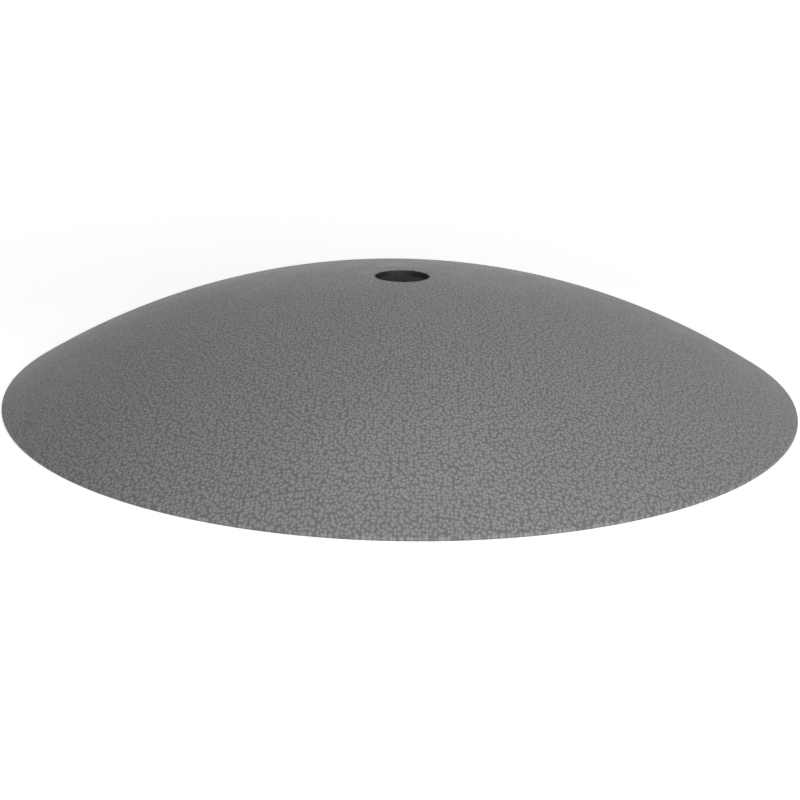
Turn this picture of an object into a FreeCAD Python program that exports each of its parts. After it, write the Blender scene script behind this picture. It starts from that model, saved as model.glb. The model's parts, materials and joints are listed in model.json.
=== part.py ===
"""Harrow disc blade: one dished steel plate with a punched axle hole and a ground cutting edge.

The blade is a shell of even thickness between two spheres about one centre, pressed from flat
plate. It rests on its cutting edge with the convex back upwards. The origin is the centre of the
circle that the edge rests on, and +Z runs along the gang axle, out of the back. Lengths are in mm.
"""

import FreeCAD, Part
import math
import os

# Driving dimensions
blade_diameter = 558.8  # 22 in, across the cutting edge
concavity = 76.2  # 3 in, from the edge's plane up to the concave face at the axis
plate_thickness = 4.76  # 3/16 in plate
axle_hole_diameter = 38.9  # clears a 38.1 mm (1-1/2 in) round axle
bevel_width = 12.7  # band ground off the concave face, inwards from the cutting edge
edge_thickness = 2.0  # steel that the grinding leaves at the rim
rim_chamfer = 0.9  # corner broken on the convex back, outside the edge's land
punch_side_chamfer = 0.6  # corner of the axle hole on the back, where the punch went in
exit_side_chamfer = 0.3  # deburred corner of the axle hole on the concave face

# A chamfer takes at most this share of the wall that it is cut in
LARGEST_SHARE = 0.75

# The dish: two faces and the edge's own sphere, all about one centre on the axle
edge_radius = blade_diameter / 2
ground_depth = plate_thickness - edge_thickness
edge_sphere_rise = concavity + ground_depth
edge_sphere = (edge_radius**2 + edge_sphere_rise**2) / (2 * edge_sphere_rise)
concave_face = edge_sphere - ground_depth
convex_back = edge_sphere + edge_thickness
along_axle = FreeCAD.Vector(0, 0, 1)
dish_centre = along_axle * (edge_sphere_rise - edge_sphere)
rim_angle = math.asin(edge_radius / edge_sphere)

# The rim, the ground band and the hole, placed on those spheres
hole_radius = axle_hole_diameter / 2
bevel_angle = bevel_width / concave_face
rim_break = min(rim_chamfer, LARGEST_SHARE * edge_thickness)
back_break = min(punch_side_chamfer, LARGEST_SHARE * plate_thickness / 2)
front_break = min(exit_side_chamfer, LARGEST_SHARE * plate_thickness / 2)


def at_angle(radius, angle):
    """The point of the section at a radius from the dish's centre and an angle from the axle."""
    return dish_centre + FreeCAD.Vector(math.sin(angle), 0, math.cos(angle)) * radius


def at_reach(radius, reach):
    """The point of the section at a radius from the dish's centre and a distance from the axle."""
    return at_angle(radius, math.asin(reach / radius))


def dish_arc(start, end):
    """The arc of a dish face that joins two points of the section."""
    towards_middle = (start - dish_centre) + (end - dish_centre)
    radius = (start - dish_centre).Length
    middle = dish_centre + towards_middle.normalize() * radius
    return Part.Arc(start, middle, end).toShape()


def straight(start, end):
    """A straight line of the section."""
    return Part.LineSegment(start, end).toShape()


def half_section():
    """The blade's section on one side of the axle, as a face."""
    back_start = at_reach(convex_back, hole_radius + back_break)
    back_end = at_angle(convex_back, rim_angle - rim_break / convex_back)
    land_start = at_angle(convex_back - rim_break, rim_angle)
    cutting_edge = at_angle(edge_sphere, rim_angle)
    bevel_top = at_angle(concave_face, rim_angle - bevel_angle)
    concave_end = at_reach(concave_face, hole_radius + front_break)
    wall_foot = at_reach(concave_face, hole_radius) + along_axle * front_break
    wall_top = at_reach(convex_back, hole_radius) - along_axle * back_break
    outline = [
        dish_arc(back_start, back_end),
        straight(back_end, land_start),
        straight(land_start, cutting_edge),
        straight(cutting_edge, bevel_top),
        dish_arc(bevel_top, concave_end),
        straight(concave_end, wall_foot),
        straight(wall_foot, wall_top),
        straight(wall_top, back_start),
    ]
    return Part.Face(Part.Wire(outline))


def disc_blade():
    """The half section turned once about the axle."""
    return half_section().revolve(FreeCAD.Vector(), along_axle, 360)


os.makedirs("parts", exist_ok=True)
disc_blade().exportStep("parts/disc_blade.step")
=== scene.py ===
import json
import math

import bpy
from mathutils import Matrix, Vector


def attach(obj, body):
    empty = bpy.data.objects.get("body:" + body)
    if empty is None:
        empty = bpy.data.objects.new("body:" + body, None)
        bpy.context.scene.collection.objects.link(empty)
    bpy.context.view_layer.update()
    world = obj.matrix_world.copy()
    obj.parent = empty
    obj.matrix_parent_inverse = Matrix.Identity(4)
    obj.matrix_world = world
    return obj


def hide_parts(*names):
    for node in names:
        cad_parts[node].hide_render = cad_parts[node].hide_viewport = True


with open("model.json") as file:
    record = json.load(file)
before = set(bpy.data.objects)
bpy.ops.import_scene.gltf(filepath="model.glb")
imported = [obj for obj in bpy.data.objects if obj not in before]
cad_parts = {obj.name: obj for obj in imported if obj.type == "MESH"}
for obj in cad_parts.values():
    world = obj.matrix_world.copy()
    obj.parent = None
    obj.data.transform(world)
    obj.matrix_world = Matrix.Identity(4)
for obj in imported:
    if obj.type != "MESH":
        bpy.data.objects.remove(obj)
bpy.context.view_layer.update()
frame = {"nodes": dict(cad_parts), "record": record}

# ------------------------------------------------------------------------------------------
# THE BLADE. One round plate of spring steel, hardened and tempered. It is punched, dished in a
# press between two spheres about one centre, coated satin grey on both faces, and then ground
# thin to bright steel on the concave side of its rim. It lies on its cutting edge.

axle_hole = frame["record"]["mounts"][0]["dims"]
edge_ring = [v.co for v in frame["nodes"]["disc_blade"].data.vertices if v.co.z < 1e-6]
blade_sizes = {
    "Edge radius": max(math.hypot(p.x, p.y) for p in edge_ring),
    "Hole radius": axle_hole["r_mm"] / 1000,
    "Concavity": 0.0762,
    "Plate thickness": 0.00476,
    "Edge thickness": 0.0020,
    "Bevel width": 0.0127,
    "Rim rounding": 0.0014,
    "Punch side rounding": 0.0006,
    "Exit side rounding": 0.0003,
    "Shoulder": 0.0004,
}
blade_steps = {
    "Steps round the axle": 300,
    "Steps across a face": 60,
    "Steps round a corner": 17,
}


def add_node(tree, kind, links=None, **settings):
    """A node of a tree, with its settings made and its sockets linked or set by name."""
    node = tree.nodes.new(kind)
    for name, value in settings.items():
        setattr(node, name, value)
    for name, value in (links or {}).items():
        socket = node.inputs[name]
        if isinstance(value, bpy.types.NodeSocket):
            tree.links.new(value, socket)
        else:
            socket.default_value = value
    return node


def new_finish(name):
    """A named material, its node tree, its shader and the place on the blade that it colours."""
    material = bpy.data.materials.new(name)
    material.use_nodes = True
    tree = material.node_tree
    shader = tree.nodes["Principled BSDF"]
    place = tree.nodes.new("ShaderNodeTexCoord").outputs["Object"]
    return material, tree, shader, place


def stretch(tree, place, scale):
    """The place on the blade, stretched by a scale along each axis."""
    return add_node(tree, "ShaderNodeMapping", {"Vector": place, "Scale": scale}).outputs["Vector"]


def noise(tree, place, scale, detail=2.0, roughness=0.5):
    """Cloudy noise from 0 to 1, at so many cells a metre."""
    cloud = add_node(
        tree,
        "ShaderNodeTexNoise",
        {"Vector": place, "Scale": scale, "Detail": detail, "Roughness": roughness},
    )
    return cloud.outputs["Fac"]


def spread(tree, value, low, high, to_low, to_high):
    """A value taken from one range to another, and held at its ends."""
    ranged = add_node(
        tree,
        "ShaderNodeMapRange",
        {"Value": value, "From Min": low, "From Max": high, "To Min": to_low, "To Max": to_high},
    )
    return ranged.outputs["Result"]


def calc(tree, operation, *values):
    """One sum on numbers or sockets, in any node tree."""
    step = tree.nodes.new("ShaderNodeMath")
    step.operation = operation
    for socket, value in zip(step.inputs, values):
        if isinstance(value, bpy.types.NodeSocket):
            tree.links.new(value, socket)
        else:
            socket.default_value = value
    return step.outputs["Value"]


def grey(tree, brightness):
    """A neutral grey of a brightness that a socket gives."""
    return add_node(
        tree, "ShaderNodeCombineColor", {"Red": brightness, "Green": brightness, "Blue": brightness}
    ).outputs["Color"]


def reach_from_axle(tree, place):
    """How far a place on the blade lies from the axle."""
    level = add_node(
        tree, "ShaderNodeVectorMath", {0: place, 1: (1.0, 1.0, 0.0)}, operation="MULTIPLY"
    )
    return add_node(
        tree, "ShaderNodeVectorMath", {"Vector": level.outputs["Vector"]}, operation="LENGTH"
    ).outputs["Value"]


def coated_steel():
    """Satin grey coat: a fine pebbled skin, a little cloudy where it lies thicker."""
    coat_grey = 0.172
    pebbles_per_metre = 460
    material, tree, shader, place = new_finish("satin_grey_coat")
    pebbles = add_node(
        tree,
        "ShaderNodeTexVoronoi",
        {"Vector": place, "Scale": pebbles_per_metre, "Randomness": 0.8},
        voronoi_dimensions="2D",
    ).outputs["Distance"]
    grit = noise(tree, place, 1300.0, 1.0)
    clouds = noise(tree, place, 9.0, 3.0)
    tone = calc(
        tree,
        "MULTIPLY",
        spread(tree, pebbles, 0.0, 0.6, 1.50, 0.72),
        spread(tree, grit, 0.25, 0.75, 0.72, 1.28),
    )
    tone = calc(tree, "MULTIPLY", tone, spread(tree, clouds, 0.3, 0.7, 0.97, 1.03))
    brightness = calc(tree, "MULTIPLY", tone, coat_grey)
    tree.links.new(grey(tree, brightness), shader.inputs["Base Color"])
    shader.inputs["Specular IOR Level"].default_value = 0.12
    roughness = spread(tree, noise(tree, place, 60.0, 3.0), 0.3, 0.7, 0.44, 0.52)
    tree.links.new(roughness, shader.inputs["Roughness"])
    relief = calc(tree, "SUBTRACT", grit, pebbles)
    bump = add_node(
        tree, "ShaderNodeBump", {"Strength": 0.35, "Distance": 0.0002, "Height": relief}
    )
    tree.links.new(bump.outputs["Normal"], shader.inputs["Normal"])
    return material


def ground_steel():
    """Bright steel with the fine lines of a grinding wheel that ran across the edge."""
    material, tree, shader, place = new_finish("ground_edge_steel")
    reach = reach_from_axle(tree, place)
    split = add_node(tree, "ShaderNodeSeparateXYZ", {"Vector": place})
    round_x = calc(tree, "DIVIDE", split.outputs["X"], reach)
    round_y = calc(tree, "DIVIDE", split.outputs["Y"], reach)
    wheel_place = add_node(
        tree, "ShaderNodeCombineXYZ", {"X": round_x, "Y": round_y, "Z": reach}
    ).outputs["Vector"]
    lines = noise(tree, stretch(tree, wheel_place, (450.0, 450.0, 30.0)), 1.0, 3.0, 0.6)
    patches = noise(tree, stretch(tree, wheel_place, (14.0, 14.0, 60.0)), 1.0, 2.0)
    brightness = calc(
        tree,
        "MULTIPLY",
        spread(tree, lines, 0.3, 0.7, 0.34, 0.50),
        spread(tree, patches, 0.3, 0.7, 0.92, 1.06),
    )
    tree.links.new(grey(tree, brightness), shader.inputs["Base Color"])
    shader.inputs["Metallic"].default_value = 1.0
    tree.links.new(spread(tree, lines, 0.3, 0.7, 0.30, 0.42), shader.inputs["Roughness"])
    bump = add_node(tree, "ShaderNodeBump", {"Strength": 0.3, "Distance": 0.0001, "Height": lines})
    tree.links.new(bump.outputs["Normal"], shader.inputs["Normal"])
    return material


def hole_wall_painted_shade_steel():
    """The wall of the punched hole, scored along the axle where the punch went through, and coloured
    near-black as painted shade inside the hole.
    """
    material, tree, shader, place = new_finish("punched_hole_wall_painted_shade")
    scores = noise(tree, stretch(tree, place, (900.0, 900.0, 60.0)), 1.0, 3.0, 0.6)
    # near-black grey on the wall: painted shade, where the hole lies in shadow
    tree.links.new(
        grey(tree, spread(tree, scores, 0.3, 0.7, 0.015, 0.032)), shader.inputs["Base Color"]
    )
    shader.inputs["Metallic"].default_value = 0.6
    tree.links.new(spread(tree, scores, 0.3, 0.7, 0.45, 0.65), shader.inputs["Roughness"])
    bump = add_node(
        tree, "ShaderNodeBump", {"Strength": 0.5, "Distance": 0.0002, "Height": scores}
    )
    tree.links.new(bump.outputs["Normal"], shader.inputs["Normal"])
    return material


def turned_blade_tree():
    """Geometry nodes that turn the blade's half section about the axle, and finish it."""
    tree = bpy.data.node_groups.new("turned_blade", "GeometryNodeTree")
    for name in blade_sizes:
        tree.interface.new_socket(name, in_out="INPUT", socket_type="NodeSocketFloat")
    for name in blade_steps:
        tree.interface.new_socket(name, in_out="INPUT", socket_type="NodeSocketInt")
    tree.interface.new_socket("Blade", in_out="OUTPUT", socket_type="NodeSocketGeometry")
    size = tree.nodes.new("NodeGroupInput").outputs

    def sum_of(operation, *values):
        return calc(tree, operation, *values)

    # The dish: the back, the concave face and the edge's sphere, all about one centre
    ground_depth = sum_of("SUBTRACT", size["Plate thickness"], size["Edge thickness"])
    rise = sum_of("ADD", size["Concavity"], ground_depth)
    squares = sum_of("ADD", sum_of("POWER", size["Edge radius"], 2), sum_of("POWER", rise, 2))
    edge_sphere = sum_of("DIVIDE", squares, sum_of("MULTIPLY", rise, 2))
    concave_face = sum_of("SUBTRACT", edge_sphere, ground_depth)
    convex_back = sum_of("ADD", edge_sphere, size["Edge thickness"])
    dish_centre = sum_of("SUBTRACT", rise, edge_sphere)
    rim_angle = sum_of("ARCSINE", sum_of("DIVIDE", size["Edge radius"], edge_sphere))

    def point_at(radius, angle):
        """A point of the section, at a radius from the dish's centre and an angle off the axle."""
        across = sum_of("MULTIPLY", radius, sum_of("SINE", angle))
        up = sum_of("ADD", dish_centre, sum_of("MULTIPLY", radius, sum_of("COSINE", angle)))
        return add_node(tree, "ShaderNodeCombineXYZ", {"X": across, "Y": up}).outputs["Vector"]

    def arc(centre, radius, start, end, steps):
        """Points along an arc of the section, between two angles off the axle."""
        curve = add_node(
            tree,
            "GeometryNodeCurveArc",
            {
                "Resolution": steps,
                "Radius": radius,
                "Start Angle": sum_of("SUBTRACT", math.pi / 2, start),
                "Sweep Angle": sum_of("SUBTRACT", start, end),
            },
            mode="RADIUS",
        )
        placed = add_node(
            tree,
            "GeometryNodeTransform",
            {"Geometry": curve.outputs["Curve"], "Translation": centre},
        )
        return add_node(
            tree,
            "GeometryNodeCurveToPoints",
            {"Curve": placed.outputs["Geometry"]},
            mode="EVALUATED",
        ).outputs["Points"]

    def single_point(position):
        """One corner of the section."""
        return add_node(
            tree, "GeometryNodePoints", {"Count": 1, "Position": position}
        ).outputs["Points"]

    # The rim's rounding, between the back and the narrow land that the grinding leaves
    rim_centre_radius = sum_of("SUBTRACT", convex_back, size["Rim rounding"])
    inside_rim = sum_of("ARCSINE", sum_of("DIVIDE", size["Rim rounding"], rim_centre_radius))
    back_end = sum_of("SUBTRACT", rim_angle, inside_rim)
    land_normal = sum_of("ADD", rim_angle, math.pi / 2)

    # The hole's corners: drawn in on the back by the punch, and deburred on the concave face
    draw_centre_radius = sum_of("SUBTRACT", convex_back, size["Punch side rounding"])
    draw_reach = sum_of("ADD", size["Hole radius"], size["Punch side rounding"])
    back_start = sum_of("ARCSINE", sum_of("DIVIDE", draw_reach, draw_centre_radius))
    exit_centre_radius = sum_of("ADD", concave_face, size["Exit side rounding"])
    exit_reach = sum_of("ADD", size["Hole radius"], size["Exit side rounding"])
    concave_end = sum_of("ARCSINE", sum_of("DIVIDE", exit_reach, exit_centre_radius))

    bevel_angle = sum_of("DIVIDE", size["Bevel width"], concave_face)
    bevel_top = sum_of("SUBTRACT", rim_angle, bevel_angle)
    shoulder = sum_of("DIVIDE", size["Shoulder"], convex_back)
    middle = add_node(tree, "ShaderNodeCombineXYZ", {"Y": dish_centre}).outputs["Vector"]
    across = size["Steps across a face"]
    corner = size["Steps round a corner"]
    section = [
        arc(
            middle,
            convex_back,
            sum_of("ADD", back_start, shoulder),
            sum_of("SUBTRACT", back_end, shoulder),
            across,
        ),
        arc(
            point_at(rim_centre_radius, back_end),
            size["Rim rounding"],
            back_end,
            land_normal,
            corner,
        ),
        single_point(point_at(edge_sphere, rim_angle)),
        single_point(point_at(concave_face, bevel_top)),
        arc(
            middle,
            concave_face,
            sum_of("SUBTRACT", bevel_top, shoulder),
            sum_of("ADD", concave_end, shoulder),
            across,
        ),
        arc(
            point_at(exit_centre_radius, concave_end),
            size["Exit side rounding"],
            sum_of("ADD", concave_end, math.pi),
            1.5 * math.pi,
            corner,
        ),
        arc(
            point_at(draw_centre_radius, back_start),
            size["Punch side rounding"],
            -math.pi / 2,
            back_start,
            corner,
        ),
    ]

    # The points in their order round the section make one closed curve
    joined = tree.nodes.new("GeometryNodeJoinGeometry")
    for points in reversed(section):
        tree.links.new(points, joined.inputs["Geometry"])
    outline = add_node(
        tree, "GeometryNodePointsToCurves", {"Points": joined.outputs["Geometry"]}
    ).outputs["Curves"]
    closed = add_node(
        tree, "GeometryNodeSetSplineCyclic", {"Geometry": outline, "Cyclic": True}
    ).outputs["Geometry"]

    # The path is the hole's circle. The section is moved in by its radius, and laid over, since
    # a path's second axis points down
    back_to_wall = add_node(
        tree, "ShaderNodeCombineXYZ", {"X": sum_of("MULTIPLY", size["Hole radius"], -1)}
    )
    from_wall = add_node(
        tree,
        "GeometryNodeTransform",
        {
            "Geometry": closed,
            "Translation": back_to_wall.outputs["Vector"],
            "Rotation": (math.pi, 0, 0),
        },
    )
    circle = add_node(
        tree,
        "GeometryNodeCurvePrimitiveCircle",
        {"Resolution": size["Steps round the axle"], "Radius": size["Hole radius"]},
        mode="RADIUS",
    )
    turned = add_node(
        tree,
        "GeometryNodeCurveToMesh",
        {"Curve": circle.outputs["Curve"], "Profile Curve": from_wall.outputs["Geometry"]},
    ).outputs["Mesh"]

    # Creases stay sharp, and the corners' short steps are shaded round
    smallest_crease = math.radians(9)
    smooth = add_node(
        tree, "GeometryNodeSetShadeSmooth", {"Geometry": turned, "Shade Smooth": True}
    ).outputs["Geometry"]
    edge_angle = tree.nodes.new("GeometryNodeInputMeshEdgeAngle").outputs["Unsigned Angle"]
    creases = sum_of("GREATER_THAN", edge_angle, smallest_crease)
    creased = add_node(
        tree,
        "GeometryNodeSetShadeSmooth",
        {"Geometry": smooth, "Selection": creases, "Shade Smooth": False},
        domain="EDGE",
    ).outputs["Geometry"]

    # Each face's finish goes by where it lies: the coat everywhere but the bevel and the hole
    place = add_node(
        tree,
        "ShaderNodeSeparateXYZ",
        {"Vector": tree.nodes.new("GeometryNodeInputPosition").outputs["Position"]},
    ).outputs
    reach = sum_of(
        "SQRT", sum_of("ADD", sum_of("POWER", place["X"], 2), sum_of("POWER", place["Y"], 2))
    )
    height = sum_of("SUBTRACT", place["Z"], dish_centre)
    off_axle = sum_of("ARCTAN2", reach, height)
    from_centre = sum_of("SQRT", sum_of("ADD", sum_of("POWER", reach, 2), sum_of("POWER", height, 2)))
    past_bevel_top = sum_of("GREATER_THAN", off_axle, bevel_top)
    inside_land = sum_of("LESS_THAN", from_centre, edge_sphere)
    on_ground_band = sum_of("MULTIPLY", past_bevel_top, inside_land)
    wall_margin = 0.00002
    in_hole = sum_of("LESS_THAN", reach, sum_of("ADD", size["Hole radius"], wall_margin))
    dressed = tree.nodes.new("GeometryNodeRealizeInstances")
    tree.links.new(creased, dressed.inputs["Geometry"])
    blade = dressed.outputs["Geometry"]
    for finish, where in (
        (coated_steel(), True),
        (ground_steel(), on_ground_band),
        (hole_wall_painted_shade_steel(), in_hole),
    ):
        blade = add_node(
            tree,
            "GeometryNodeSetMaterial",
            {"Geometry": blade, "Selection": where, "Material": finish},
        ).outputs["Geometry"]
    out = tree.nodes.new("NodeGroupOutput")
    tree.links.new(blade, out.inputs["Blade"])
    return tree


def as_plain_mesh(maker, name):
    """The mesh that an object's modifiers make, as an object of its own at the origin."""
    bpy.context.view_layer.update()
    evaluated = maker.evaluated_get(bpy.context.evaluated_depsgraph_get())
    mesh = bpy.data.meshes.new_from_object(evaluated)
    mesh.name = name
    bpy.data.objects.remove(maker)
    piece = bpy.data.objects.new(name, mesh)
    bpy.context.scene.collection.objects.link(piece)
    return piece


lathe = bpy.data.objects.new("lathe", bpy.data.meshes.new("lathe"))
bpy.context.scene.collection.objects.link(lathe)
turning = lathe.modifiers.new("turning", "NODES")
turning.node_group = turned_blade_tree()
for socket in turning.node_group.interface.items_tree:
    if socket.in_out == "INPUT":
        turning[socket.identifier] = {**blade_sizes, **blade_steps}[socket.name]
blade = as_plain_mesh(lathe, "turned_blade")
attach(blade, "root")
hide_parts("disc_blade")

# ------------------------------------------------------------------------------------------
# THE FLOOR. A plain white studio sheet, level under the cutting edge. It looks white wherever no
# shadow falls. Under the dish it glows dimly to every ray: painted light standing in for the little
# light that comes in through the hole.


def seen_directly(tree):
    """1 for rays from the camera, a mirror or glass, and 0 for the rays that light a surface."""
    ray = tree.nodes.new("ShaderNodeLightPath").outputs
    shown = calc(tree, "MAXIMUM", ray["Is Camera Ray"], ray["Is Glossy Ray"])
    return calc(tree, "MAXIMUM", shown, ray["Is Transmission Ray"])


floor_half = 25.0
# painted light: the floor under the dish glows at this strength to every ray
painted_light_under_dish = 0.11
glow_near = 0.58
glow_far = 1.0
sheet, sheet_tree, sheet_shader, sheet_place = new_finish("white_floor")
sheet_shader.inputs["Base Color"].default_value = (0.8, 0.8, 0.8, 1)
sheet_shader.inputs["Roughness"].default_value = 1.0
sheet_shader.inputs["Specular IOR Level"].default_value = 0.0
from_axle = add_node(
    sheet_tree, "ShaderNodeVectorMath", {"Vector": sheet_place}, operation="LENGTH"
).outputs["Value"]
outside_dish = calc(sheet_tree, "GREATER_THAN", from_axle, blade_sizes["Edge radius"])
glow = spread(sheet_tree, from_axle, 0.4, 1.8, glow_near, glow_far)
glow = calc(sheet_tree, "MULTIPLY", seen_directly(sheet_tree), glow)
# Under the dish the sheet glows at a fixed strength to every ray: painted light, seen through the
# hole and lighting the dish's hollow
glow = spread(sheet_tree, outside_dish, 0, 1, painted_light_under_dish, glow)
sheet_shader.inputs["Emission Color"].default_value = (1, 1, 1, 1)
sheet_tree.links.new(glow, sheet_shader.inputs["Emission Strength"])
floor = bpy.data.objects.new("floor", bpy.data.meshes.new("floor"))
floor.data.from_pydata(
    [
        (-floor_half, -floor_half, 0),
        (floor_half, -floor_half, 0),
        (floor_half, floor_half, 0),
        (-floor_half, floor_half, 0),
    ],
    [],
    [(0, 1, 2, 3)],
)
floor.data.materials.append(sheet)
bpy.context.scene.collection.objects.link(floor)

# ------------------------------------------------------------------------------------------
# THE STUDIO LIGHT. A white room with a large soft box overhead, two low ones in front, the
# stronger on the right, and a weak one behind that draws out the top of the dish.

room_light = 0.02
room = bpy.data.worlds.new("white_room")
room.use_nodes = True
room_strength = spread(room.node_tree, seen_directly(room.node_tree), 0, 1, room_light, 1)
wall = room.node_tree.nodes["Background"]
wall.inputs["Color"].default_value = (1, 1, 1, 1)
room.node_tree.links.new(room_strength, wall.inputs["Strength"])
bpy.context.scene.world = room


def soft_box(name, azimuth, elevation, power, distance=1.8, side=1.0):
    """A square lamp that faces the blade, at an azimuth from the front and an elevation."""
    lamp = bpy.data.lights.new(name, "AREA")
    lamp.shape = "SQUARE"
    lamp.size = side
    lamp.energy = power
    box = bpy.data.objects.new(name, lamp)
    level = math.cos(math.radians(elevation))
    towards = Vector(
        (
            math.sin(math.radians(azimuth)) * level,
            -math.cos(math.radians(azimuth)) * level,
            math.sin(math.radians(elevation)),
        )
    )
    box.location = towards * distance
    box.rotation_euler = towards.to_track_quat("Z", "Y").to_euler()
    bpy.context.scene.collection.objects.link(box)


soft_box("overhead_box", 0, 89, 12.8)
soft_box("front_box", 0, 12, 15.5)
soft_box("right_box", 30, 12, 23.5)
soft_box("back_box", 180, 12, 1.0)

# ------------------------------------------------------------------------------------------
# THE CAMERA. It looks down on the blade's back a little, from in front.

camera_distance = 0.976
camera_elevation = math.radians(17.45)
aim_height = -0.0125
camera_roll = math.radians(1.0)
camera = bpy.data.objects.new("camera", bpy.data.cameras.new("camera"))
camera.data.sensor_width = 36
camera.data.lens = 60.1
camera.data.clip_start = 0.05
camera.data.clip_end = 50
stand = Vector((0, -math.cos(camera_elevation), math.sin(camera_elevation))) * camera_distance
aim = Vector((0, 0, aim_height))
turn = (aim - stand).to_track_quat("-Z", "Y").to_matrix().to_4x4()
camera.matrix_world = Matrix.Translation(stand) @ turn @ Matrix.Rotation(camera_roll, 4, "Z")
bpy.context.scene.collection.objects.link(camera)
bpy.context.scene.camera = camera
bpy.context.scene.view_settings.view_transform = "Standard"
